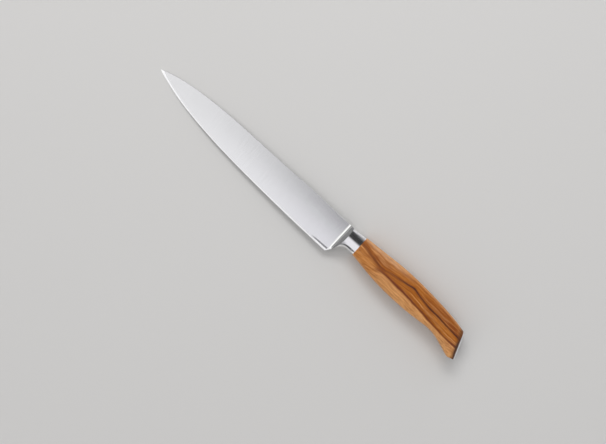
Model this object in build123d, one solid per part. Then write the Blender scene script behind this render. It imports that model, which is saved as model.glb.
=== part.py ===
from build123d import *
from math import cos, radians, sin, sqrt, tan
import os

# Carving knife: a forged blade whose bolster and hidden tang are one piece of steel, two olive wood
# scales bedded on the tang and held by blind pins, and a steel plate that closes the slanted butt.
# While it is built, X runs from the tip towards the butt, Y from the edge towards the spine, and the
# middle of the blade's thickness is at Z = 0. It is then moved so that the origin is at the middle of
# its underside, lying on its side. Lengths are in millimetres and angles in degrees.

# Blade, seen from its side: heights are above the knife's axis and depths below it, and each height or
# depth belongs to the share of the blade's length in the same place of the list above it
blade_length = 203.0
tip_depth = 0.2
spine_shares = (0.05, 0.12, 0.25, 0.45, 0.72)
spine_heights = (3.35, 6.05, 8.75, 9.75, 9.6)
spine_end_height = 9.15
spine_tip_angle = 24.0
spine_end_angle = 1.0
edge_shares = (0.05, 0.12, 0.25, 0.50, 0.74)
edge_depths = (3.95, 7.85, 12.65, 17.5, 19.8)
edge_tip_angle = 28.0
edge_end_angle = 1.0
heel_depth = 21.0
heel_setback = 1.4
heel_lean = 34.0

# Blade, through its thickness
spine_thickness = 2.5
shoulder_thickness = 0.68
tip_thickness = 0.84
edge_land = 0.06
bevel_angle = 12.0
bevel_reach = 2.6
spine_easing = 0.3
heel_flat_length = 40.0
heel_flat_height = 1.9
heel_flat_angle = 3.0

# Bolster
bolster_length = 17.7
bolster_rear_height = 10.05
bolster_rear_depth = 8.2
bolster_waist_depth = 7.9
bolster_thickness = 15.6
bolster_crown_radius = 40.0
bolster_slope = 61.0
bolster_front_setback = 1.5
bolster_front_fillet = 3.4
bolster_top_radius = 2.8
bolster_bottom_radius = 3.4
choil_radius = 8.0
heel_easing_length = 8.0
heel_easing_width = 1.3
heel_easing_drop = 0.3
parting_setback = 1.4

# Tang, hidden in the handle
tang_thickness = 2.6
tang_front_height = 10.0
tang_rear_height = 6.5
tang_front_axis = 0.6
tang_rear_axis = -3.6

# Handle: the shares are of its length on the axis, from the bolster to just past the butt
handle_length = 114.7
handle_top_shares = (0.164, 0.36, 0.555, 0.73, 0.90, 1.08)
handle_top_heights = (11.15, 12.45, 12.0, 10.45, 7.75, 3.1)
handle_belly_shares = (0.078, 0.164, 0.27, 0.46, 0.60, 0.69, 0.755, 0.815, 0.90, 0.985, 1.08)
handle_belly_depths = (9.5, 11.05, 12.5, 13.4, 13.0, 12.05, 11.55, 12.1, 14.6, 18.1, 20.9)
handle_side_shares = (0.17, 0.45, 0.78, 1.08)
handle_side_widths = (8.8, 9.8, 9.0, 9.3)
handle_crown_shares = (0.30, 1.08)
handle_crown_radii = (24.0, 24.0)
handle_rounding_radii = (4.0, 4.0)
handle_sections = 15
top_start_angle = 3.0
belly_start_angle = 8.0
butt_lean = 21.0
beak_length = 114.3
beak_depth = 18.7
beak_angle = 18.4
facet_top_height = 5.8
facet_top_setback = 3.0
facet_bottom_depth = 16.4
facet_bottom_setback = 4.6
facet_angle = 45.0
butt_top_rounding = 1.0
beak_rounding = 2.0
butt_low_rounding = 0.9

# Butt plate, pins and bedding
plate_thickness = 1.2
plate_slot_clearance = 0.05
pin_radius = 2.0
pin_length = 12.0
pin_names = ("front", "middle", "rear")
pin_shares = (0.17, 0.46, 0.74)
pin_bore_clearance = 0.05
pin_end_clearance = 0.3
bedding_side = 0.2
bedding_rim = 0.5

# Room past the solids that the cutting shapes are given, and how finely curves are followed
reach = 1000.0
margin = 5.0
bevel_margin = 1.25
cutter_sections = 9
halvings = 40

bolster_face = blade_length + bolster_length
slope_foot_x = blade_length + bolster_front_setback
butt_x = bolster_face + handle_length
heel_x = blade_length - heel_setback
heel_angle = 90 - heel_lean


def direction(angle):
    """Unit vector in the side view, at an angle above the X axis."""
    return Vector(cos(radians(angle)), sin(radians(angle)))


butt_foot = Vector(butt_x, 0)
butt_normal = direction(butt_lean)
beak = Vector(bolster_face + beak_length, -beak_depth)
beak_normal = direction(beak_angle - 90)


def crossing(curve, origin, normal):
    """How far along a side-view curve, from 0 to 1, it passes a plane in the direction of its normal."""
    low, high = 0.0, 1.0
    for _ in range(halvings):
        middle = (low + high) / 2
        if (curve @ middle - origin).dot(normal) < 0:
            low = middle
        else:
            high = middle
    return low


def height_at(curve, x):
    """Y of a side-view curve that runs along +X, at a given X."""
    return (curve @ crossing(curve, Vector(x, 0), Vector(1, 0))).Y


def half_space(origin, normal):
    """Everything on the side of a plane that its normal points to, as a large block."""
    block = Box(reach, reach, reach, align=(Align.CENTER, Align.CENTER, Align.MIN))
    return Plane(origin=origin, z_dir=normal) * block


def both_sides(shape):
    """A shape together with its mirror image in the blade's middle plane."""
    return shape + mirror(shape, about=Plane.XY)


def slab(face, half_height):
    """A side-view face, given thickness to both sides of the middle plane."""
    return extrude(face, amount=half_height, both=True)


# Side-view curves of the forging, from the tip to the bolster's rear face
tip = Vector(0, -tip_depth)
heel = Vector(heel_x, -heel_depth)
spine_end = Vector(blade_length, spine_end_height)
spine_points = [Vector(share * blade_length, height) for share, height in zip(spine_shares, spine_heights)]
edge_points = [Vector(share * blade_length, -depth) for share, depth in zip(edge_shares, edge_depths)]
spine_curve = Spline(
    [tip, *spine_points, spine_end],
    tangents=[direction(spine_tip_angle), direction(-spine_end_angle)],
)
edge_curve = Spline(
    [tip, *edge_points, heel],
    tangents=[direction(-edge_tip_angle), direction(-edge_end_angle)],
)
bolster_top = Spline(
    [spine_end, (bolster_face, bolster_rear_height)],
    tangents=[direction(-spine_end_angle), direction(top_start_angle)],
)
choil_run = (heel_depth - bolster_waist_depth) * tan(radians(heel_lean))
choil_corner = Vector(heel_x + choil_run, -bolster_waist_depth)
choil_start = choil_corner - direction(heel_angle) * choil_radius * tan(radians(heel_angle / 2))
choil_arc = JernArc(choil_start, direction(heel_angle), choil_radius, -heel_angle)
bolster_bottom = Spline(
    [choil_arc @ 1, (bolster_face, -bolster_rear_depth)],
    tangents=[direction(0), direction(-belly_start_angle)],
)

# The blade's half thickness is a plane over the side view, set at the tip, the heel and the spine's end
half_spine = spine_thickness / 2
half_shoulder = shoulder_thickness / 2
half_tip = tip_thickness / 2
taper_rise = (half_spine - half_shoulder) / (spine_end_height + heel_depth)
taper_run = (half_shoulder + taper_rise * heel_depth - half_tip) / heel_x
cheek_normal = Vector(-taper_run, -taper_rise, 1).normalized()


def on_cheek(x, y):
    """The point of the upper cheek over a place in the side view."""
    return Vector(x, y, half_tip + taper_rise * y + taper_run * x)


def front_rise(x):
    """How high the bolster's front stands over the cheek's plane at a given X, up its fillet and slope."""
    run = x - slope_foot_x + bolster_front_fillet * tan(radians(bolster_slope / 2))
    if run <= 0:
        return 0.0
    if run < bolster_front_fillet * sin(radians(bolster_slope)):
        return bolster_front_fillet - sqrt(bolster_front_fillet ** 2 - run ** 2)
    return (x - slope_foot_x) * tan(radians(bolster_slope))


def upper_point(place):
    """The point of the blade's or the bolster front's upper surface over a place in the side view."""
    return on_cheek(place.X, place.Y) + Vector(0, 0, front_rise(place.X))


def crown_bar():
    """The bolster's two crowned sides, as a long bar. Below the waist they carry on straight."""
    middle = (bolster_rear_height - bolster_rear_depth) / 2
    centre = Vector(middle, bolster_thickness / 2 - bolster_crown_radius)
    sine_top = (bolster_rear_height + margin - centre.X) / bolster_crown_radius
    sine_waist = (bolster_waist_depth + centre.X) / bolster_crown_radius
    top = centre + Vector(sine_top, sqrt(1 - sine_top ** 2)) * bolster_crown_radius
    crest = centre + Vector(0, bolster_crown_radius)
    waist = centre + Vector(-sine_waist, sqrt(1 - sine_waist ** 2)) * bolster_crown_radius
    fall = sine_waist / sqrt(1 - sine_waist ** 2)
    foot = waist - Vector(1, fall) * (heel_depth - bolster_waist_depth)
    side = ThreePointArc(top, crest, waist)
    half = make_face([side, Line(waist, foot), Polyline(foot, (foot.X, 0), (top.X, 0), top)])
    both = Plane(origin=(blade_length - bolster_length, 0), x_dir=(0, 1, 0), z_dir=(1, 0, 0)) * half
    return both_sides(extrude(both, amount=3 * bolster_length))


def thickness_envelope():
    """The space between the ground cheeks and the bolster's crowns, joined by the front fillet."""
    block = Box(bolster_face + 4 * margin, 2 * (heel_depth + margin), 4 * margin)
    wedge = Pos(X=bolster_face / 2) * block - both_sides(half_space(on_cheek(0, 0), cheek_normal))
    foot = on_cheek(slope_foot_x, 0)
    slope = half_space(foot, Vector(-sin(radians(bolster_slope)), 0, cos(radians(bolster_slope))))
    joined = wedge + (crown_bar() & half_space((blade_length, 0), (1, 0)) - both_sides(slope))
    lines = [edge for edge in joined.edges().filter_by(GeomType.LINE) if edge.length > heel_depth]
    creases = [edge for edge in lines if abs((edge @ 0.5 - foot).X) < bolster_front_fillet]
    return fillet(creases, bolster_front_fillet)


def rounded_bolster():
    """The bolster and the foot of the heel with their long edges rounded, cut square at the front."""
    front = Line(spine_end, (blade_length, heel_setback / tan(radians(heel_lean)) - heel_depth))
    rear = Line(bolster_top @ 1, bolster_bottom @ 1)
    side = make_face([front, Line(front @ 1, choil_start), choil_arc, bolster_bottom, rear, bolster_top])
    block = slab(side, bolster_thickness) & crown_bar()
    for above, radius in ((True, bolster_top_radius), (False, bolster_bottom_radius)):
        outer = [edge for edge in block.edges() if abs((edge @ 0.5).Z) > half_spine]
        along = [edge for edge in outer if abs((edge @ 0 - edge @ 1).X) > edge_land]
        block = fillet([edge for edge in along if ((edge @ 0.5).Y > 0) == above], radius)
    return block


def edge_cutter(stations):
    """What eases an edge of the upper side: at each station a triangle outside the easing's line.

    A station holds the outline's point, the inward direction, how far the easing reaches in and how
    far it reaches down.
    """
    triangles = []
    for point, inward, inset, drop in stations:
        edge = upper_point(point)
        low = edge - Vector(0, 0, drop)
        high = upper_point(point + inward * inset)
        slope = (high - low).normalized() * bevel_margin
        corner = edge + Vector(0, 0, bevel_margin) - inward * bevel_margin
        triangles.append(Wire.make_polygon([low - slope, high + slope, corner], close=True))
    return Solid.make_loft(triangles)


def spine_easing_cutter():
    """Breaks the spine's edge from the tip to the bolster."""
    stations = []
    for index in range(cutter_sections):
        share = index / (cutter_sections - 1)
        point = spine_curve @ share
        along = spine_curve % share
        inward = Vector(along.Y, -along.X)
        stations.append((point, inward, spine_easing, spine_easing))
    return edge_cutter(stations)


def heel_easing_cutter():
    """Breaks the heel's rear edge, from the heel some way up the bolster's slope."""
    along = direction(heel_angle)
    inward = Vector(-along.Y, along.X)
    stations = []
    for index in range(-1, cutter_sections):
        point = heel + along * (heel_easing_length * index / (cutter_sections - 1))
        stations.append((point, inward, heel_easing_width, heel_easing_drop))
    return edge_cutter(stations)


def bevel_cutter():
    """The space outside the edge bevel, over the upper half of the edge."""
    inset_points = []
    for index in range(cutter_sections):
        share = index / (cutter_sections - 1)
        along = edge_curve % share
        inset_points.append(edge_curve @ share + Vector(-along.Y, along.X) * bevel_reach)
    inset_curve = Spline(inset_points, tangents=[edge_curve % 0, edge_curve % 1])
    rise = bevel_reach * tan(radians(bevel_angle))
    loops = []
    for curve, height in ((edge_curve, 0), (inset_curve, rise)):
        first = curve @ 0 - (curve % 0) * 2 * margin
        last = curve @ 1 + (curve % 1) * margin
        floor = -heel_depth - 2 * margin
        closing = Polyline(last, (last.X, floor), (first.X, floor), first)
        loop = Wire([Line(first, curve @ 0), curve, Line(curve @ 1, last), *closing.edges()])
        loops.append(Pos(Z=edge_land / 2 + height) * loop)
    return Solid.make_loft(loops, ruled=True)


def heel_flat_cutter():
    """The shallow flat ground above the bevel beside the heel."""
    bevel_width = (half_shoulder - edge_land / 2) / tan(radians(bevel_angle))
    front_x = heel_x - heel_flat_length
    front = on_cheek(front_x, height_at(edge_curve, front_x) + bevel_width)
    rear = on_cheek(heel_x, bevel_width + heel_flat_height - heel_depth)
    towards_edge = (rear - front).cross(cheek_normal).normalized()
    tilt = radians(heel_flat_angle)
    flat = half_space(front, cheek_normal * cos(tilt) + towards_edge * sin(tilt))
    return flat - half_space((blade_length, 0), (1, 0))


# The tang and the pocket around it, in the side view
tang_axis = Line((bolster_face, tang_front_axis), (butt_x, tang_rear_axis))


def tang_blank(rim, side):
    """The tang's bar grown by a rim above and below and by a side on each cheek, past the butt."""
    half_front = tang_front_height / 2 + rim
    half_rear = tang_rear_height / 2 + rim
    run = (tang_axis % 0) * (tang_axis.length + 2 * margin)
    shrink = (half_front - half_rear) * (run.length / tang_axis.length)
    start = tang_axis @ 0
    end = start + run
    profile = Polyline(
        start + Vector(0, half_front),
        end + Vector(0, half_front - shrink),
        end - Vector(0, half_front - shrink),
        start - Vector(0, half_front),
        close=True,
    )
    return slab(make_face(profile), tang_thickness / 2 + side)


def blade():
    """The forging: blade, bolster and tang."""
    parting = half_space((blade_length + parting_setback, 0), (1, 0))
    side = make_face([
        spine_curve, bolster_top, Line(bolster_top @ 1, bolster_bottom @ 1),
        bolster_bottom, choil_arc, Line(heel, choil_start), edge_curve,
    ])
    outline = (slab(side, bolster_thickness) - parting) + (rounded_bolster() & parting)
    steel = thickness_envelope() & outline
    for cutter in (bevel_cutter(), heel_flat_cutter(), heel_easing_cutter(), spine_easing_cutter()):
        steel -= both_sides(cutter)
    return steel + (tang_blank(0, 0) - half_space((butt_x, 0), butt_normal))


def handle_points(start, shares, values):
    """The points of one handle size over the handle's length, from its value at the bolster."""
    points = [Vector(bolster_face, start)]
    for share, value in zip(shares, values):
        points.append(Vector(bolster_face + share * handle_length, value))
    return points


def outline_curve(points, start_angle):
    """The handle's top or belly, which carries on the bolster's line and ends straight."""
    return Spline(points, tangents=[direction(start_angle), points[-1] - points[-2]])


top_curve = outline_curve(
    handle_points(bolster_rear_height, handle_top_shares, handle_top_heights), top_start_angle
)
belly_curve = outline_curve(
    handle_points(-bolster_rear_depth, handle_belly_shares, [-depth for depth in handle_belly_depths]),
    -belly_start_angle,
)
side_curve = Spline(handle_points(bolster_thickness / 2, handle_side_shares, handle_side_widths))
crown_curve = Spline(handle_points(bolster_crown_radius, handle_crown_shares, handle_crown_radii))
top_rounding = Spline(handle_points(bolster_top_radius, handle_crown_shares, handle_rounding_radii))
belly_rounding = Spline(handle_points(bolster_bottom_radius, handle_crown_shares, handle_rounding_radii))


def handle_section(x):
    """Half of the handle's cross-section: a crowned side with a rounded edge above and below."""
    top = height_at(top_curve, x)
    belly = height_at(belly_curve, x)
    side = height_at(side_curve, x)
    crown = height_at(crown_curve, x)
    centre = Vector(x, (top + belly) / 2, side - crown)
    edges = []
    for sign, limit, rounding_curve in ((1, top, top_rounding), (-1, belly, belly_rounding)):
        rounding = height_at(rounding_curve, x)
        reach_in = (top - belly) / 2 - rounding
        lift = sqrt((crown - rounding) ** 2 - reach_in ** 2)
        pivot = centre + Vector(0, sign * reach_in, lift)
        outer = pivot + (pivot - centre).normalized() * rounding
        flat = Vector(x, limit, pivot.Z)
        middle = pivot + ((outer - pivot) + (flat - pivot)).normalized() * rounding
        edges.append((Vector(x, limit, 0), flat, middle, outer))
    (top_foot, top_flat, top_middle, top_outer), (low_foot, low_flat, low_middle, low_outer) = edges
    return Wire([
        Line(top_foot, top_flat),
        ThreePointArc(top_flat, top_middle, top_outer),
        ThreePointArc(top_outer, Vector(x, centre.Y, side), low_outer),
        ThreePointArc(low_outer, low_middle, low_flat),
        Line(low_flat, low_foot),
        Line(low_foot, top_foot),
    ])


def handle_half():
    """The visible half of the handle, wood and butt plate together."""
    spacing = handle_length * handle_top_shares[-1] / (handle_sections - 1)
    stations = [bolster_face + spacing * index for index in range(handle_sections)]
    half = Solid.make_loft([handle_section(x) for x in stations])
    half -= half_space((butt_x, 0), butt_normal)
    half -= half_space(beak, beak_normal)
    half -= butt_facet()
    for cutter in butt_roundings():
        half -= cutter
    return half


def corner_cutter(corner, first, second, radius):
    """What rounds a corner of the side view, whose two edges leave it along two unit directions."""
    inward = (first + second).normalized()
    half_angle = radians(first.get_angle(second)) / 2
    run = radius / tan(half_angle)
    centre = corner + inward * (radius / sin(half_angle))
    start = corner + first * run
    end = corner + second * run
    outside = inward * margin
    outline = Polyline(start, centre, end, end - outside, start - outside, close=True)
    return slab(make_face(outline) - Pos(centre) * Circle(radius), bolster_thickness)


def butt_roundings():
    """What rounds the butt's top corner and the beak's two corners."""
    up_butt = direction(90 + butt_lean)
    up_beak = direction(beak_angle)
    top_share = crossing(top_curve, butt_foot, butt_normal)
    belly_share = crossing(belly_curve, beak, beak_normal)
    along = (butt_foot - beak).dot(butt_normal) / up_beak.dot(butt_normal)
    low_corner = beak + up_beak * along
    return (
        corner_cutter(top_curve @ top_share, up_butt * -1, top_curve % top_share * -1, butt_top_rounding),
        corner_cutter(low_corner, up_butt, up_beak * -1, butt_low_rounding),
        corner_cutter(belly_curve @ belly_share, up_beak, belly_curve % belly_share * -1, beak_rounding),
    )


def butt_point(height, setback):
    """A place beside the butt's line, at a height on the axis and a distance in from the line."""
    return Vector(butt_x - height * tan(radians(butt_lean)), height) - butt_normal * setback


def butt_facet():
    """The flat that slopes from the handle's side to its butt, wider towards the beak."""
    lift = Vector(0, 0, handle_side_widths[-1])
    top = butt_point(facet_top_height, facet_top_setback) + lift
    low = butt_point(-facet_bottom_depth, facet_bottom_setback) + lift
    outward = Vector(0, 0, 1).cross(low - top).normalized()
    normal = outward * cos(radians(facet_angle)) + Vector(0, 0, sin(radians(facet_angle)))
    return half_space(top, normal)


def pin_places():
    """Each pin's name and its centre on the tang's axis."""
    return {name: tang_axis @ share for name, share in zip(pin_names, pin_shares)}


def pin_solid(centre, clearance, end_clearance):
    """A pin across the middle plane, or the bore for it."""
    return Pos(centre) * Cylinder(pin_radius + clearance, pin_length + 2 * end_clearance)


def build():
    """Every piece by its node's name, on the building axes."""
    steel = blade()
    half = handle_half()
    plate_side = half_space(butt_point(0, plate_thickness), butt_normal)
    pocket = tang_blank(bedding_rim, bedding_side) - plate_side
    bores = [pin_solid(place, pin_bore_clearance, pin_end_clearance) for place in pin_places().values()]
    pins = {name: pin_solid(place, 0, 0) for name, place in pin_places().items()}
    left = half - plate_side - pocket
    for bore in bores:
        left -= bore
    bedding = pocket - tang_blank(0, 0)
    for bore in bores:
        bedding -= bore
    for pin in pins.values():
        steel -= pin
    slot = tang_blank(plate_slot_clearance, plate_slot_clearance)
    pieces = {
        "blade": steel,
        "left_handle_scale": left,
        "right_handle_scale": mirror(left, about=Plane.XY),
        "tang_bedding": bedding,
        "end_plate": both_sides(half & plate_side) - slot,
    }
    for name, pin in pins.items():
        pieces["tang_pin_" + name] = pin
    return pieces


pieces = build()
boxes = [piece.bounding_box() for piece in pieces.values()]
low = Vector(*(min(corner) for corner in zip(*(tuple(box.min) for box in boxes))))
high = Vector(*(max(corner) for corner in zip(*(tuple(box.max) for box in boxes))))
shift = Pos(-(low + high).X / 2, -(low + high).Y / 2, -low.Z)
os.makedirs("parts", exist_ok=True)
for name, piece in pieces.items():
    export_step(shift * piece, "parts/" + name + ".step")
    print(name, len(piece.solids()), round(piece.volume, 1), piece.is_valid)
print("length, height and thickness:", high - low)
print("middle of the building axes:", low + high, "halved, underside at", low.Z)
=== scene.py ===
"""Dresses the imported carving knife: ground and polished steel, oiled olive wood, and a plain pale stage.

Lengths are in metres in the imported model's own frame: X runs from the tip to the butt, Y from the cutting
edge to the spine, and Z up through the thickness of the knife, which lies on its side.
"""

from math import cos, pi, radians, sin

import bpy
from bpy.props import FloatProperty, FloatVectorProperty, PointerProperty
from mathutils import Matrix, Vector


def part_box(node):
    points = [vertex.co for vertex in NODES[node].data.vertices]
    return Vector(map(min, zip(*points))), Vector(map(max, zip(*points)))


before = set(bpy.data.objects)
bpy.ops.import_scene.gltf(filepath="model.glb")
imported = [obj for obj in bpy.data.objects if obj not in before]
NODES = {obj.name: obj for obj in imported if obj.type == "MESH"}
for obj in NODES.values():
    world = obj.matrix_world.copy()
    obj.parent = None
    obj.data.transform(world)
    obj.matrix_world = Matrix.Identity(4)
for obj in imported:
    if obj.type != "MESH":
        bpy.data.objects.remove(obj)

bl_info = {
    "name": "Carving Knife Finishes",
    "version": (1, 0, 0),
    "blender": (4, 5, 0),
    "location": "3D Viewport > Sidebar > Knife",
    "description": "Finishes a carving knife's steel and olive wood and sets the stage around it",
    "category": "Material",
}

MM = 0.001

# Places on the knife that the finishes follow
TIP_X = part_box("blade")[0].x
HANDLE_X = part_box("left_handle_scale")[0].x
BUTT_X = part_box("left_handle_scale")[1].x
HANDLE_LENGTH = BUTT_X - HANDLE_X
BOLSTER_LENGTH = 17.7 * MM
FRONT_FILLET_X = HANDLE_X - BOLSTER_LENGTH - 0.6 * MM
HEEL_X = HANDLE_X - BOLSTER_LENGTH - 1.4 * MM
AXIS_Y = (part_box("blade")[0].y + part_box("blade")[1].y) / 2 + 5.48 * MM
BUTT_AXIS_X = TIP_X + 335.4 * MM
BUTT_LEAN = radians(21)
MIDDLE_Z = (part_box("blade")[0].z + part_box("blade")[1].z) / 2

# The heel's eased rear edge, the whiter strip beside the bevel near the heel, and a cheek's crown
EASING_END_X = FRONT_FILLET_X + 3.6 * MM
EASING_TOP_Y = -7.5 * MM
STRIP_TOP_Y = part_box("blade")[0].y + 1.7 * MM
STRIP_START_X = HEEL_X - 18 * MM
STRIP_FULL_X = HEEL_X - 11 * MM
CHEEK_MIDDLE_Y = AXIS_Y - 11 * MM
CHEEK_REACH = 15.5 * MM

# Depths of the finest marks: hairlines in the polish, drawing lines, bubbles in the resin, and fibres
HAIR_DEPTH = 0.00015 * MM
DRAWING_DEPTH = 0.0008 * MM
BUBBLE_DEPTH = 0.03 * MM
FIBRE_DEPTH = 0.006 * MM

# Colours that no picture shows, of the tang's pins and of the resin around it
PIN_COLOUR = (0.55, 0.55, 0.56)
RESIN_PALE = (0.12, 0.09, 0.055)
RESIN_DARK = (0.07, 0.055, 0.04)

# The point that the camera looks down on, and how far the soft lamp hangs from it
VIEW_CENTRE = (1.75 * MM, -11.24 * MM)
LAMP_DISTANCE = 1.5


def colour_property(name, description, default):
    """A colour that the panel shows as a swatch."""
    return FloatVectorProperty(
        name=name, description=description, subtype="COLOR", size=3, min=0.0, max=1.0, default=default
    )


def length_property(name, description, default):
    """A length that the panel shows in the scene's units."""
    return FloatProperty(
        name=name, description=description, subtype="DISTANCE", unit="LENGTH", default=default
    )


def share_property(name, description, default):
    """A number from 0 to 1."""
    return FloatProperty(
        name=name, description=description, subtype="FACTOR", min=0.0, max=1.0, default=default
    )


def level_property(name, description, default):
    """The brightness of a part of the light from all round."""
    return FloatProperty(name=name, description=description, default=default)


class SteelFinish(bpy.types.PropertyGroup):
    """Sizes and colours of the steel."""

    blade_colour: colour_property("Blade", "Colour of the ground cheeks", (0.732, 0.732, 0.744))
    bolster_colour: colour_property("Bolster", "Colour of the polished bolster", (0.80, 0.795, 0.79))
    bevel_colour: colour_property("Edge Bevel", "Colour of the honed bevel", (0.96, 0.96, 0.965))
    plate_colour: colour_property("Butt Plate", "Colour of the butt's plate", (0.76, 0.76, 0.77))
    blade_roughness: share_property("Blade Roughness", "Roughness of the ground cheeks", 0.2)
    bolster_roughness: share_property("Bolster Roughness", "Roughness of the polished bolster", 0.085)
    bevel_roughness: share_property("Bevel Roughness", "Roughness of the honed edge bevel", 0.45)
    grain_spacing: length_property("Grain Spacing", "Distance between the lines of the grind", 0.16 * MM)
    grain_length: length_property("Grain Length", "Length of one line of the grind", 9 * MM)
    stroke_spacing: length_property("Stroke Spacing", "Distance between the broad strokes", 1.3 * MM)
    stroke_length: length_property("Stroke Length", "Length of one broad stroke", 12 * MM)
    grain_depth: length_property("Grain Depth", "Depth of the lines of the grind", 0.0009 * MM)
    crown_depth: length_property("Cheek Crown", "How far the middle of a cheek bellies out", 0.29 * MM)


class WoodFinish(bpy.types.PropertyGroup):
    """Sizes and colours of the olive wood."""

    amber: colour_property("Amber", "The wood's main colour", (0.392, 0.120, 0.004))
    honey: colour_property("Honey", "The lighter wood below the lower vein", (0.715, 0.365, 0.140))
    # Painted sheen: this pale colour stands in for the oil's shine near the top edge by the bolster
    painted_sheen: colour_property("Bloom", "The pale, dry crest by the bolster", (0.620, 0.400, 0.250))
    russet: colour_property("Russet", "Broad soft streaks", (0.185, 0.040, 0.005))
    umber: colour_property("Umber", "The dark upper vein and the knot", (0.055, 0.016, 0.006))
    wine: colour_property("Wine", "The reddish lower vein", (0.110, 0.022, 0.012))
    # Partly the end grain's own colour, partly painted shade on the rounded edge at the butt
    end_grain_and_shade: colour_property("End Grain", "Where the fibres are cut across", (0.075, 0.026, 0.009))
    fibre_length: length_property("Fibre Length", "Length of the fine streaks along the grain", 14 * MM)
    fibre_spacing: length_property("Fibre Spacing", "Distance between the fine streaks", 0.55 * MM)
    pore_depth: length_property("Pore Depth", "Depth of the pores", 0.012 * MM)
    roughness: share_property("Roughness", "Roughness of the oiled surface", 0.40)


class StageSetup(bpy.types.PropertyGroup):
    """Sizes and levels of the floor, the camera and the light."""

    floor_colour: colour_property("Floor", "Colour of the floor", (0.60, 0.593, 0.582))
    floor_width: length_property("Floor Width", "Side of the square floor", 24.0)
    view_width: length_property("View Width", "What the camera's width takes in at the knife", 0.503)
    view_turn: FloatProperty(
        name="View Turn", description="Turn of the knife in the picture", subtype="ANGLE", unit="ROTATION",
        default=radians(42),
    )
    overhead_level: level_property("Overhead", "Brightness of the light straight above", 1.0)
    side_level: level_property("Side", "Brightness of the light from the butt's side", 0.55)
    corner_level: level_property("Corner", "Brightness of the card beside heel and butt", 1.3)
    key_power: FloatProperty(
        name="Key Lamp", description="Power of the soft lamp behind the spine", unit="POWER", default=8.0
    )


class Value:
    """A number in a node tree. Sums written with it add Math nodes."""

    def __init__(self, tree, socket):
        self.tree = tree
        self.socket = socket

    def math(self, operation, *others):
        """The result of a Math node on this number and the others."""
        return self.ordered(operation, self, *others)

    def ordered(self, operation, *terms):
        """The result of a Math node on the terms in their order."""
        node = self.tree.nodes.new("ShaderNodeMath")
        node.operation = operation
        for socket, term in zip(node.inputs, terms):
            if isinstance(term, Value):
                self.tree.links.new(term.socket, socket)
            else:
                socket.default_value = term
        return Value(self.tree, node.outputs[0])

    def __add__(self, other):
        return self.ordered("ADD", self, other)

    def __radd__(self, other):
        return self.ordered("ADD", other, self)

    def __sub__(self, other):
        return self.ordered("SUBTRACT", self, other)

    def __rsub__(self, other):
        return self.ordered("SUBTRACT", other, self)

    def __mul__(self, other):
        return self.ordered("MULTIPLY", self, other)

    def __rmul__(self, other):
        return self.ordered("MULTIPLY", other, self)

    def __truediv__(self, other):
        return self.ordered("DIVIDE", self, other)

    def __rtruediv__(self, other):
        return self.ordered("DIVIDE", other, self)

    def __pow__(self, other):
        return self.ordered("POWER", self, other)

    def __neg__(self):
        return self.ordered("MULTIPLY", self, -1.0)

    def __abs__(self):
        return self.ordered("ABSOLUTE", self)


class Recipe:
    """The nodes of one material or of the world."""

    def __init__(self, owner):
        owner.use_nodes = True
        self.tree = owner.node_tree
        self.tree.nodes.clear()

    def add(self, kind, settings=None, values=None):
        """A node of a type, with its settings made first and then its sockets filled or linked."""
        node = self.tree.nodes.new(kind)
        for name, setting in (settings or {}).items():
            if name == "points":
                self.set_points(node.mapping, setting)
            else:
                setattr(node, name, setting)
        for name, value in (values or {}).items():
            socket = node.inputs[name]
            if isinstance(value, Value):
                self.tree.links.new(value.socket, socket)
            elif isinstance(value, bpy.types.NodeSocket):
                self.tree.links.new(value, socket)
            else:
                socket.default_value = value
        return node

    @staticmethod
    def set_points(mapping, points):
        """Gives a curve its points and smooths it through them."""
        curve = mapping.curves[0]
        while len(curve.points) < len(points):
            curve.points.new(0.5, 0.5)
        for point, place in zip(curve.points, points):
            point.location = place
            point.handle_type = "AUTO"
        mapping.update()

    def value(self, node, output=0):
        """A node's output as a number for sums."""
        return Value(self.tree, node.outputs[output])

    def split(self, vector):
        """The three numbers of a vector socket."""
        parts = self.add("ShaderNodeSeparateXYZ", values={0: vector})
        return tuple(self.value(parts, index) for index in range(3))

    def join(self, x, y, z):
        """A vector socket of three numbers."""
        return self.add("ShaderNodeCombineXYZ", values={0: x, 1: y, 2: z}).outputs[0]

    def place(self):
        """Where on the knife a point is, as three numbers in metres."""
        return self.split(self.add("ShaderNodeTexCoord").outputs["Object"])

    def facing(self):
        """Which way the surface faces, as three numbers."""
        return self.split(self.add("ShaderNodeNewGeometry").outputs["Normal"])

    def cells(self, place, *sizes):
        """A vector for noise whose blobs have these sizes in metres along X, Y and Z."""
        return self.join(*(number / size for number, size in zip(place, sizes)))

    def noise(self, vector, detail=2.0, roughness=0.5):
        """Soft noise from 0 to 1, about one blob in each unit of the vector."""
        values = {"Vector": vector, "Scale": 1.0, "Detail": detail, "Roughness": roughness}
        return self.value(self.add("ShaderNodeTexNoise", values=values))

    def rise(self, number, low, high):
        """A smooth step from 0 to 1 as the number goes from low to high."""
        settings = {"interpolation_type": "SMOOTHSTEP"}
        values = {"Value": number, "From Min": low, "From Max": high}
        return self.value(self.add("ShaderNodeMapRange", settings, values))

    def fall(self, number, low, high):
        """A smooth step from 1 to 0 as the number goes from low to high."""
        return 1.0 - self.rise(number, low, high)

    def blend(self, share, first, second):
        """A colour that goes from the first to the second."""
        values = {0: share, 6: opaque(first), 7: opaque(second)}
        return self.add("ShaderNodeMix", {"data_type": "RGBA"}, values).outputs[2]

    def bump(self, height):
        """A surface normal from a height in metres."""
        values = {"Height": height, "Distance": 1.0, "Strength": 1.0}
        return self.add("ShaderNodeBump", values=values).outputs["Normal"]

    def surface(self, values):
        """Ends a material with its shader."""
        shader = self.add("ShaderNodeBsdfPrincipled", values=values)
        self.add("ShaderNodeOutputMaterial", values={"Surface": shader.outputs["BSDF"]})


def opaque(colour):
    """A colour with its fourth number, or the socket that carries one."""
    if isinstance(colour, bpy.types.NodeSocket):
        return colour
    return (*colour, 1.0)


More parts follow.
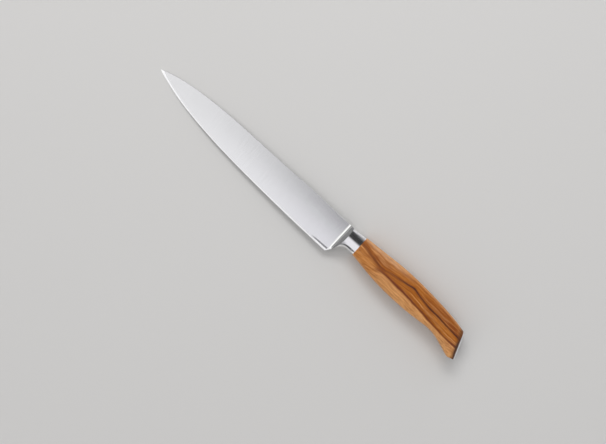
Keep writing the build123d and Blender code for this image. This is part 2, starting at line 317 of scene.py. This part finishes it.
def darker(colour, share):
    """A share of a colour's light."""
    return [part * share for part in colour]


def dress(node, material):
    """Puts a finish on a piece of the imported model."""
    piece = NODES[node]
    piece.data.materials.clear()
    piece.data.materials.append(material)


def forged_steel(steel):
    """The forging: ground cheeks with a fine grain, a honed bevel and a polished bolster."""
    material = bpy.data.materials.new("ForgedBladeSteel")
    recipe = Recipe(material)
    place = recipe.place()
    x, y, z = place
    face_x, face_y, face_z = recipe.facing()

    # Where each finish lies: polished, honed as on the bevel, or ground
    polished = recipe.rise(x, FRONT_FILLET_X - 0.1 * MM, FRONT_FILLET_X + 0.1 * MM)
    # The heel's eased rear edge takes the honed finish, whose lighter colour there is partly a painted
    # highlight along that edge
    turned_down = recipe.fall(face_y, -0.1, -0.06) * polished
    eased = recipe.rise(face_x, 0.08, 0.12).math("MAXIMUM", turned_down)
    eased = eased * recipe.fall(x, EASING_END_X - 0.2 * MM, EASING_END_X)
    eased = eased * recipe.rise(abs(face_z), 0.85, 0.9)
    eased = eased * recipe.fall(y, EASING_TOP_Y - 0.5 * MM, EASING_TOP_Y + 0.5 * MM)
    near_heel = recipe.rise(x, STRIP_START_X, STRIP_FULL_X)
    strip = recipe.fall(y, STRIP_TOP_Y - 0.15 * MM, STRIP_TOP_Y + 0.15 * MM) * near_heel
    bevel = recipe.fall(face_y, -0.18, -0.14).math("MAXIMUM", strip) * (1.0 - polished)
    honed = bevel.math("MAXIMUM", eased)
    polished = polished * (1.0 - honed)
    ground = (1.0 - polished) * (1.0 - honed)
    # A painted dark reflection: the cheek's flat near the heel, above the bevel, is made darker in its
    # colour
    painted_heel_reflection = recipe.fall(face_y, -0.072, -0.05) * ground * near_heel

    # The lines and broad strokes of the grind, soft clouds, and hairlines in the polish; the grey also
    # carries the painted dark reflection near the heel
    grain_cells = recipe.cells(place, steel.grain_spacing, steel.grain_length, steel.grain_length)
    grain = recipe.noise(grain_cells, detail=3.0, roughness=0.62)
    stroke_cells = recipe.cells(place, steel.stroke_spacing, steel.stroke_length, steel.stroke_length)
    bands = recipe.noise(stroke_cells) - 0.5
    cloud = recipe.noise(recipe.cells(place, 30 * MM, 20 * MM, 20 * MM))
    hairs = recipe.noise(recipe.cells(place, 4 * MM, 0.12 * MM, 0.12 * MM))

    grey = 0.91 + grain * 0.15 + bands * 0.08 + cloud * 0.04 - painted_heel_reflection * 0.6
    base = recipe.blend(honed, steel.blade_colour, steel.bevel_colour)
    base = recipe.blend(polished, base, steel.bolster_colour)
    shade = recipe.join(grey, grey, grey)
    settings = {"data_type": "RGBA", "blend_type": "MULTIPLY"}
    ground_grain_and_reflection = recipe.add("ShaderNodeMix", settings, {0: ground, 6: base, 7: shade})

    roughness = ground * (steel.blade_roughness - 0.03 + grain * 0.05 + cloud * 0.02)
    roughness = roughness + honed * (steel.bevel_roughness + grain * 0.04)
    roughness = roughness + polished * (steel.bolster_roughness - 0.015 + hairs * 0.035)

    across = (y - CHEEK_MIDDLE_Y) / CHEEK_REACH
    crown = across * across * ground * -steel.crown_depth
    height = crown + grain * ground * steel.grain_depth + hairs * polished * HAIR_DEPTH
    recipe.surface({
        "Base Color": ground_grain_and_reflection.outputs[2],
        "Metallic": 1.0 - honed * 0.35,
        "Roughness": roughness,
        "Normal": recipe.bump(height),
    })
    return material


def drawn_steel(name, colour, roughness):
    """Plain bright steel with fine drawing lines, for the small parts."""
    material = bpy.data.materials.new(name)
    recipe = Recipe(material)
    place = recipe.place()
    lines = recipe.noise(recipe.cells(place, 0.3 * MM, 0.12 * MM, 3 * MM), detail=3.0)
    cloud = recipe.noise(recipe.cells(place, 6 * MM, 6 * MM, 6 * MM))
    recipe.surface({
        "Base Color": recipe.blend(cloud * 0.35 + lines * 0.25, colour, darker(colour, 0.8)),
        "Metallic": 1.0,
        "Roughness": roughness - 0.04 + lines * 0.1,
        "Normal": recipe.bump(lines * DRAWING_DEPTH),
    })
    return material


def cured_resin():
    """The resin that beds the tang, with trapped bubbles."""
    material = bpy.data.materials.new("BeddingResin")
    recipe = Recipe(material)
    place = recipe.place()
    values = {"Vector": recipe.cells(place, 0.7 * MM, 0.7 * MM, 0.7 * MM), "Scale": 1.0}
    bubble = recipe.value(recipe.add("ShaderNodeTexVoronoi", values=values))
    cloud = recipe.noise(recipe.cells(place, 5 * MM, 3 * MM, 3 * MM))
    spots = recipe.fall(bubble, 0.12, 0.22)
    recipe.surface({
        "Base Color": recipe.blend(cloud, RESIN_PALE, RESIN_DARK),
        "Roughness": 0.38 + cloud * 0.15,
        "Normal": recipe.bump(spots * -BUBBLE_DEPTH),
    })
    return material


# Each vein of the wood: share of the handle's length, and height above the knife's axis in millimetres
UPPER_VEIN = (
    (-0.02, 4.4), (0.03, 3.8), (0.071, 2.7), (0.119, 1.5), (0.174, 0.1), (0.215, -0.3),
    (0.263, 0.9), (0.318, 2.2), (0.384, 3.5), (0.435, 4.3), (0.477, 5.2), (0.511, 4.3),
    (0.587, 2.6), (0.655, 1.5), (0.71, 1.2), (0.779, 0.2), (0.855, -0.4), (0.96, -0.8),
)
LOWER_VEIN = (
    (-0.02, -6.7), (0.064, -5.7), (0.133, -4.5), (0.188, -3.3), (0.236, -2.3), (0.298, -2.4),
    (0.353, -2.8), (0.422, -3.1), (0.497, -3.7), (0.559, -4.5), (0.614, -5.2), (0.662, -5.9),
    (0.71, -6.6), (0.779, -7.6), (0.855, -8.3), (0.95, -7.9), (1.0, -7.8),
)
# How dark each vein is along the handle, from 0 to 1
UPPER_STRENGTH = (
    (0.0, 0.25), (0.10, 0.32), (0.17, 0.42), (0.24, 0.3), (0.29, 0.3), (0.37, 0.6), (0.46, 1.0),
    (0.51, 0.85), (0.58, 0.75), (0.66, 1.0), (0.72, 0.9), (0.82, 0.7), (0.91, 0.95), (1.0, 1.0),
)
LOWER_STRENGTH = (
    (0.0, 0.0), (0.15, 0.0), (0.19, 0.4), (0.24, 0.65), (0.30, 0.8), (0.37, 0.9), (0.48, 0.8),
    (0.58, 0.7), (0.66, 0.75), (0.73, 0.55), (0.82, 0.5), (0.90, 0.8), (1.0, 0.9),
)
# How far from the axis the veins may reach, and the crest's height above it
CURVE_REACH = 10.0
CREST_HEIGHT = 12.0
# The streaks crowd and spread with the veins. This many millimetres of them lie between and above the two
VEIN_GAP = 7.0
CREST_GAP = 10.0
# How high a scale's side lies above the parting plane, and the grain's slant through the wood
SEEN_DEPTH = 8.0
GRAIN_SLANT = 0.12
# How far from its middle a vein's core and its soft halo fade, in millimetres
CORE_FADE = (0.25, 0.85)
HALO_FADE = (0.2, 1.9)
# Small marks: share of the handle's length, height, and half the length and the height, in millimetres
CREST_SHADE = (0.2, 4.0, 14.0, 3.4)
KNOT = (0.478, 5.3, 1.5, 0.9)
VEIN_FORK = (0.225, 0.1, 3.2, 1.3)
FRONT_FLECK = (0.018, -1.6, 1.5, 1.0)


def along_curve(recipe, share, points, reach=CURVE_REACH):
    """A number that follows points along the handle, each a share of its length and a value in reach."""
    places = [(place, 0.5 + value / (2 * reach)) for place, value in points]
    curve = recipe.add("ShaderNodeFloatCurve", {"points": places}, {"Factor": 1.0, "Value": share})
    return (recipe.value(curve) - 0.5) * (2 * reach)


def olive_wood(name, wood, side, drift):
    """Oiled olive wood, whose grain follows two dark veins along the handle."""
    material = bpy.data.materials.new(name)
    recipe = Recipe(material)
    x, y, z = recipe.place()
    face_x, face_y = recipe.facing()[:2]
    share = (x - HANDLE_X) / HANDLE_LENGTH
    deep = (z - MIDDLE_Z) * side / MM
    high = (y - AXIS_Y) / MM - drift + (deep - SEEN_DEPTH) * GRAIN_SLANT

    # The veins wander a little by themselves
    slow = recipe.join(share * 9.0, high * 0.15, deep * 0.2 + drift)
    quick = recipe.join(share * 45.0, high * 0.5, deep * 0.4 + drift)
    wander = (recipe.noise(slow, detail=3.0) - 0.5) * 1.2
    wobble = (recipe.noise(quick) - 0.5) * 0.6
    height = high + wander + wobble
    upper = along_curve(recipe, share, UPPER_VEIN)
    lower = along_curve(recipe, share, LOWER_VEIN)
    between = ((height - lower) / (upper - lower)).math("MAXIMUM", 0.0).math("MINIMUM", 1.0)
    over = ((height - upper) / (CREST_HEIGHT - upper)).math("MAXIMUM", 0.0)
    flow = (height - lower).math("MINIMUM", 0.0) + between * VEIN_GAP + over * CREST_GAP

    def streaks(spacing, length, turn, detail=2.0):
        """Noise in lines that follow the grain, with their spacing and length in millimetres."""
        along = share * (HANDLE_LENGTH / MM / length) + turn
        vector = recipe.join(along, flow / spacing, deep / spacing * 0.6)
        return recipe.noise(vector, detail=detail, roughness=0.55)

    def spot(place, middle, length, width):
        """A soft patch at a share of the length and a height, with its half sizes in millimetres."""
        along = (share - place) * (HANDLE_LENGTH / MM / length)
        across = (height - middle) / width
        return recipe.fall(along * along + across * across, 0.1, 1.0)

    broad = streaks(3.0, 60.0, drift)
    middle = streaks(1.2, 30.0, 7.0 + drift)
    fine = streaks(wood.fibre_spacing / MM, wood.fibre_length / MM, 3.0 + drift, detail=3.0)
    thread = recipe.fall(abs(streaks(2.2, 90.0, 15.0 + drift) - 0.5), 0.004, 0.035)
    mottle = recipe.noise(recipe.join(share * 26.0, flow / 2.4 + 5.0, deep / 3.0))

    # The broad zones: honey below the lower vein and beside the bolster, a painted sheen on the crest by
    # the bolster, darker wood above at the butt
    front = recipe.fall(share, 0.13, 0.27)
    below = recipe.fall(height, lower - 1.6, lower - 0.2)
    under = recipe.fall(height, upper - 1.2, upper - 0.2)
    # Painted sheen: the crest by the bolster is made paler where the oiled wood would shine
    crest_sheen = recipe.rise(height, upper + 2.0, upper + 5.0) * recipe.fall(share, 0.2, 0.5)
    pale = below * (1.0 - front) * 0.8 + under * front * 0.25 + crest_sheen * 0.3
    rear = recipe.rise(height, upper - 0.5, upper + 1.0) * recipe.rise(share, 0.45, 0.8)
    colour = recipe.blend(pale * (0.6 + mottle * 0.8), wood.amber, wood.honey)
    colour = recipe.blend(rear * 0.4, colour, wood.russet)
    colour = recipe.blend(spot(*CREST_SHADE) * (middle * 0.6 + 0.25), colour, wood.russet)

    # The streaks, broad to fine
    above = recipe.rise(height, upper + 0.8, upper + 2.5) * recipe.fall(share, 0.3, 0.55)
    calm = 1.0 - below * 0.5 - above * 0.45
    colour = recipe.blend(recipe.rise(broad, 0.46, 0.68) * calm * 0.6, colour, wood.russet)
    colour = recipe.blend(recipe.rise(middle, 0.48, 0.68) * calm * 0.5, colour, wood.russet)
    colour = recipe.blend(recipe.rise(1.0 - middle, 0.5, 0.7) * 0.4, colour, wood.honey)
    colour = recipe.blend(recipe.rise(fine, 0.48, 0.66) * 0.45, colour, wood.russet)
    colour = recipe.blend(recipe.rise(1.0 - fine, 0.5, 0.72) * 0.3, colour, wood.honey)
    colour = recipe.blend(thread * calm * 0.5, colour, wood.russet)

    # The two dark veins, each a thin core in a soft reddish halo, wider by the bolster, and the marks
    spread = 1.0 + front
    veins = ((upper, UPPER_STRENGTH, wood.umber), (lower, LOWER_STRENGTH, wood.wine))
    for centre, strength, core in veins:
        away = abs(height - centre) / spread
        level = along_curve(recipe, share, strength, 1.0) * (0.65 + fine * 0.7)
        colour = recipe.blend(recipe.fall(away, *HALO_FADE) * level * 0.9, colour, wood.russet)
        colour = recipe.blend(recipe.fall(away, *CORE_FADE) * level * 0.95, colour, core)
    colour = recipe.blend(spot(*KNOT) * 0.9, colour, wood.umber)
    colour = recipe.blend(spot(*VEIN_FORK) * 0.6, colour, wood.russet)
    colour = recipe.blend(spot(*FRONT_FLECK) * 0.5, colour, wood.russet)

    # Painted sheen: paler on the crest by the bolster, and a painted highlight along the rounded edges that
    # face sideways
    sheen_rim = recipe.rise(height, 6.5, 9.5) * recipe.fall(share, 0.22, 0.5)
    colour = recipe.blend(sheen_rim * (0.2 + mottle * 0.4), colour, wood.painted_sheen)
    # Painted highlight along the edges that face sideways
    colour = recipe.blend(recipe.rise(abs(face_y), 0.45, 0.85) * 0.45, colour, wood.honey)

    # Darker towards the butt and where the fibres are cut across: partly the end grain's own colour, partly
    # painted shade on the rounded rear edge at the butt
    to_butt = (BUTT_AXIS_X - x) * cos(BUTT_LEAN) + (AXIS_Y - y) * sin(BUTT_LEAN)
    colour = recipe.blend(recipe.fall(to_butt, 2.5 * MM, 6.0 * MM) * 0.75, colour, wood.end_grain_and_shade)
    colour = recipe.blend(recipe.rise(face_x, 0.25, 0.6) * 0.9, colour, wood.end_grain_and_shade)

    # Fine pores, darker and a little sunk
    pores = recipe.rise(streaks(0.4, 5.0, 11.0, detail=1.0), 0.62, 0.74)
    colour = recipe.blend(pores * 0.6, colour, wood.russet)
    recipe.surface({
        "Base Color": colour,
        "Roughness": wood.roughness - 0.05 + fine * 0.12 + pores * 0.15,
        "Specular IOR Level": 0.2,
        "Coat Weight": 0.04,
        "Coat Roughness": 0.3,
        "Normal": recipe.bump(pores * -wood.pore_depth + fine * FIBRE_DEPTH),
    })
    return material


class KNIFE_OT_finish_blade(bpy.types.Operator):
    """Finish the forging's cheeks, edge bevel and bolster"""

    bl_idname = "knife.finish_blade"
    bl_label = "Finish Blade and Bolster"

    def execute(self, context):
        dress("blade", forged_steel(context.scene.knife_steel))
        return {"FINISHED"}


class KNIFE_OT_finish_scales(bpy.types.Operator):
    """Finish the two olive wood scales, each with its own run of the grain"""

    bl_idname = "knife.finish_scales"
    bl_label = "Finish Olive Wood Scales"

    def execute(self, context):
        wood = context.scene.knife_wood
        dress("left_handle_scale", olive_wood("OliveWoodLeft", wood, 1.0, 0.0))
        dress("right_handle_scale", olive_wood("OliveWoodRight", wood, -1.0, 1.7))
        return {"FINISHED"}


class KNIFE_OT_finish_fittings(bpy.types.Operator):
    """Finish the butt plate, the tang's pins and its bedding"""

    bl_idname = "knife.finish_fittings"
    bl_label = "Finish Plate, Pins and Bedding"

    def execute(self, context):
        steel = context.scene.knife_steel
        dress("end_plate", drawn_steel("ButtPlateSteel", tuple(steel.plate_colour), 0.3))
        pins = drawn_steel("PinSteel", PIN_COLOUR, 0.35)
        for place in ("front", "middle", "rear"):
            dress("tang_pin_" + place, pins)
        dress("tang_bedding", cured_resin())
        return {"FINISHED"}


def lying_slope():
    """The slope of a floor that carries the knife on its tip and the handle's swell, and that tip."""
    blade = [vertex.co for vertex in NODES["blade"].data.vertices]
    scale = [vertex.co for vertex in NODES["right_handle_scale"].data.vertices]
    tip = min(blade, key=lambda place: place.x - place.z)
    return max((tip.z - place.z) / (place.x - tip.x) for place in scale), tip


def stage_axes(slope):
    """The floor's own axes: along the knife, towards its spine and up."""
    up = Vector((slope, 0, 1)).normalized()
    across = Vector((0, 1, 0))
    return across.cross(up), across, up


def lay_floor(stage, origin, axes):
    """A plain pale floor under the knife."""
    along, across = axes[:2]
    half = stage.floor_width / 2
    turns = ((-1, -1), (1, -1), (1, 1), (-1, 1))
    corners = [origin + along * (half * i) + across * (half * j) for i, j in turns]
    mesh = bpy.data.meshes.new("Floor")
    mesh.from_pydata([tuple(corner) for corner in corners], [], [(0, 1, 2, 3)])
    floor = bpy.data.objects.new("Floor", mesh)
    bpy.context.scene.collection.objects.link(floor)
    material = bpy.data.materials.new("PaleFloor")
    recipe = Recipe(material)
    cloud = recipe.noise(recipe.cells(recipe.place(), 0.4, 0.4, 1.0), detail=3.0)
    shade = darker(stage.floor_colour, 0.93)
    recipe.surface({
        "Base Color": recipe.blend(cloud * 0.2, stage.floor_colour, shade),
        "Roughness": 0.7 + cloud * 0.15,
        "Specular IOR Level": 0.25,
    })
    mesh.materials.append(material)


def set_camera(stage, centre):
    """A long lens straight above the knife, turned as in the picture."""
    data = bpy.data.cameras.new("Camera")
    data.lens = 85.0
    data.sensor_width = 36.0
    data.clip_start = 0.05
    data.clip_end = 100.0
    camera = bpy.data.objects.new("Camera", data)
    bpy.context.scene.collection.objects.link(camera)
    above = Vector((0, 0, stage.view_width * data.lens / data.sensor_width))
    turn = Matrix.Rotation(stage.view_turn, 4, "Z")
    camera.matrix_world = Matrix.Translation(centre + above) @ turn
    bpy.context.scene.camera = camera


def light_dome(stage):
    """Soft light from all round, with dark gaps above beside which the polished steel shows its shape.

    A lean is counted in degrees from straight up: towards the butt, towards the spine, or in all.
    """
    world = bpy.data.worlds.new("StudioDome")
    bpy.context.scene.world = world
    recipe = Recipe(world)
    x, y, z = recipe.split(recipe.add("ShaderNodeTexCoord").outputs["Generated"])
    to_butt = x.math("ARCTAN2", z) * (180 / pi)
    to_spine = y.math("ARCTAN2", z) * (180 / pi)
    lean = z.math("MINIMUM", 1.0).math("ARCCOSINE") * (180 / pi)
    spread = (x * x + y * y + 0.0001) ** 0.5
    corner_turn = x / (-y).math("MAXIMUM", 0.02)

    # Two dark gaps on the butt's side, towards the spine and towards the cutting edge
    behind = recipe.rise(to_spine, -2.2, 3.2) * (1.0 - recipe.rise(to_spine, 18.0, 20.0) * 0.5)
    before = recipe.rise(-to_spine, 10.0, 26.0) * (1.0 - recipe.rise(-to_spine, 50.0, 75.0) * 0.3)
    before = before * recipe.fall(corner_turn, 0.6, 1.2)
    gap = (behind * 0.96 + before * 0.9) * recipe.rise(to_butt, -2.3, -0.7)

    # Lighter towards the tip, with a faint glow beside the overhead light
    level = stage.overhead_level * (1.0 - gap) + recipe.rise(-to_butt, 12.0, 25.0) * 0.3
    glow = recipe.rise(-to_butt, 1.0, 3.0) * recipe.fall(-to_butt, 5.0, 8.0)
    glow = glow * recipe.rise(-to_spine, 0.0, 4.0) * recipe.fall(-to_spine, 12.0, 20.0)
    level = level + glow * 0.25

    # The light from the butt's side, and a bright card beside heel and butt
    level = level + (stage.side_level - level) * recipe.rise(to_butt, 8.0, 36.0)
    corner = recipe.rise(corner_turn, 0.7, 1.3) * recipe.fall(corner_turn, 2.2, 3.5)
    corner = corner * recipe.rise(lean, 12.0, 20.0) * recipe.fall(lean, 60.0, 75.0)
    level = level + (stage.corner_level - level) * corner

    # Dim low towards the tip, even along the horizon
    low_tip = recipe.rise(lean, 46.0, 55.0) * recipe.rise(-x / spread, 0.3, 0.9)
    level = level * (1.0 - low_tip * 0.8)
    level = level + (0.85 - level) * recipe.rise(lean, 78.0, 86.0)

    # A cool tint above the butt's side, where the bolster mirrors it
    cool = recipe.rise(to_butt, -3.0, 0.0) * recipe.fall(to_butt, 15.0, 35.0)
    tint = recipe.blend(cool, (1.0, 1.0, 1.0), (0.985, 0.975, 1.03))
    background = recipe.add("ShaderNodeBackground", values={"Color": tint, "Strength": level})
    recipe.add("ShaderNodeOutputWorld", values={"Surface": background.outputs[0]})


def hang_key_lamp(stage, centre, axes):
    """One broad lamp above the spine's side, for a soft shadow beside the cutting edge."""
    along, across, up = axes
    data = bpy.data.lights.new("KeyLamp", "AREA")
    data.shape = "RECTANGLE"
    data.size = 0.9
    data.size_y = 0.5
    data.energy = stage.key_power
    lamp = bpy.data.objects.new("KeyLamp", data)
    bpy.context.scene.collection.objects.link(lamp)
    towards = (up * 0.74 + across * 0.5 - along * 0.45).normalized()
    lamp.location = centre + towards * LAMP_DISTANCE
    lamp.rotation_euler = towards.to_track_quat("Z", "Y").to_euler()


class KNIFE_OT_set_stage(bpy.types.Operator):
    """Lay the floor under the knife and set the camera and the light"""

    bl_idname = "knife.set_stage"
    bl_label = "Set Stage"

    def execute(self, context):
        stage = context.scene.knife_stage
        slope, tip = lying_slope()
        axes = stage_axes(slope)
        centre = Vector((*VIEW_CENTRE, MIDDLE_Z))
        lay_floor(stage, Vector(tip), axes)
        set_camera(stage, centre)
        light_dome(stage)
        hang_key_lamp(stage, centre, axes)
        context.scene.view_settings.view_transform = "Standard"
        return {"FINISHED"}


class KNIFE_PT_finishes(bpy.types.Panel):
    """The knife's finishes and stage, in the 3D view's sidebar"""

    bl_label = "Carving Knife"
    bl_idname = "KNIFE_PT_finishes"
    bl_space_type = "VIEW_3D"
    bl_region_type = "UI"
    bl_category = "Knife"

    def draw(self, context):
        layout = self.layout
        for key in GROUPS:
            box = layout.box()
            group = getattr(context.scene, key)
            for name in group.__annotations__:
                box.prop(group, name)
        for operator in OPERATORS:
            layout.operator(operator.bl_idname)


GROUPS = {"knife_steel": SteelFinish, "knife_wood": WoodFinish, "knife_stage": StageSetup}
OPERATORS = (
    KNIFE_OT_finish_blade,
    KNIFE_OT_finish_scales,
    KNIFE_OT_finish_fittings,
    KNIFE_OT_set_stage,
)


def register():
    for name, group in GROUPS.items():
        bpy.utils.register_class(group)
        setattr(bpy.types.Scene, name, PointerProperty(type=group))
    for each in (*OPERATORS, KNIFE_PT_finishes):
        bpy.utils.register_class(each)


def unregister():
    for each in (KNIFE_PT_finishes, *reversed(OPERATORS)):
        bpy.utils.unregister_class(each)
    for name, group in GROUPS.items():
        delattr(bpy.types.Scene, name)
        bpy.utils.unregister_class(group)


def main():
    """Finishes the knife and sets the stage."""
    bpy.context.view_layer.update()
    register()
    bpy.ops.knife.finish_blade()
    bpy.ops.knife.finish_scales()
    bpy.ops.knife.finish_fittings()
    bpy.ops.knife.set_stage()


if __name__ == "__main__":
    main()
